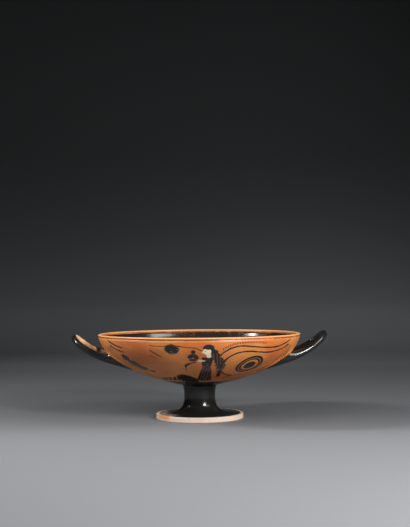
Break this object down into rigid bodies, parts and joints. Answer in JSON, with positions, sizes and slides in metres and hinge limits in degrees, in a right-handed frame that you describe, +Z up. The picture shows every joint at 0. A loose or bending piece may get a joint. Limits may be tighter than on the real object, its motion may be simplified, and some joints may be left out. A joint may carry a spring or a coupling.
{
  "type": "kylix cup",
  "caption": "Wide shallow drinking cup on a stemmed disc foot, with two looped side handles; painted black and orange fired clay.",
  "frame": {"origin": "centre of the foot's underside, where the cup stands on the table", "axes": "+Z up along the stem's axis, +X through the two handles, painted front toward -Y"},
  "size_m": [0.3546, 0.28, 0.1199],
  "materials": {
    "painted_clay": "orange clay burnished to a soft sheen, with glossy black slip painting, worn in places"
  },
  "bodies": {
    "root": {"kylix": "painted_clay"}
  },
  "joints": []
}
